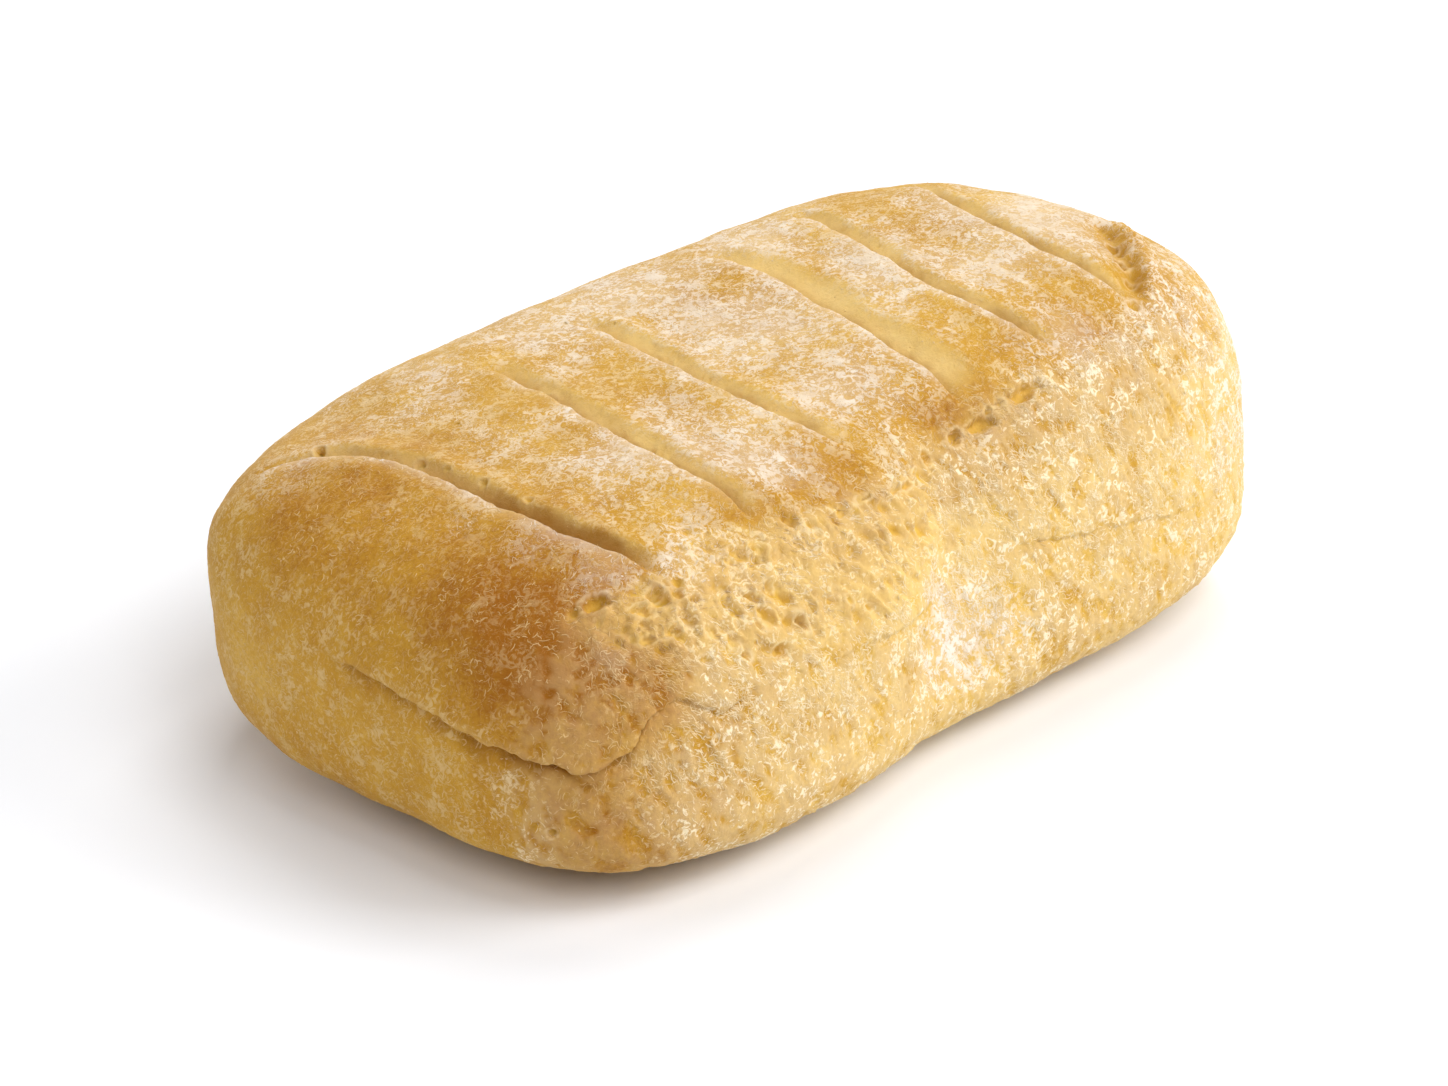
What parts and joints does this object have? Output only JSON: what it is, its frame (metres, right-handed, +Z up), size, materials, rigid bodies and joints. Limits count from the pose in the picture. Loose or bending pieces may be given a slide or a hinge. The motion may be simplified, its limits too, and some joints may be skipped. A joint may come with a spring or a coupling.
{
  "type": "short baguette loaf",
  "caption": "Short, squat white loaf with blunt round ends, slanting cuts across its floured top, and a torn, pinched and folded side; it rests on its flat foot.",
  "frame": {"origin": "under the middle of the loaf, on the surface that it rests on", "axes": "+X along the loaf to its taller, narrower end, +Z up, so -Y is the side that is torn and pinched"},
  "size_m": [0.2216, 0.133, 0.0801],
  "materials": {
    "crust": "matt, pale golden baked crust with a light dusting of flour"
  },
  "bodies": {
    "root": {"loaf": "crust"}
  },
  "joints": []
}
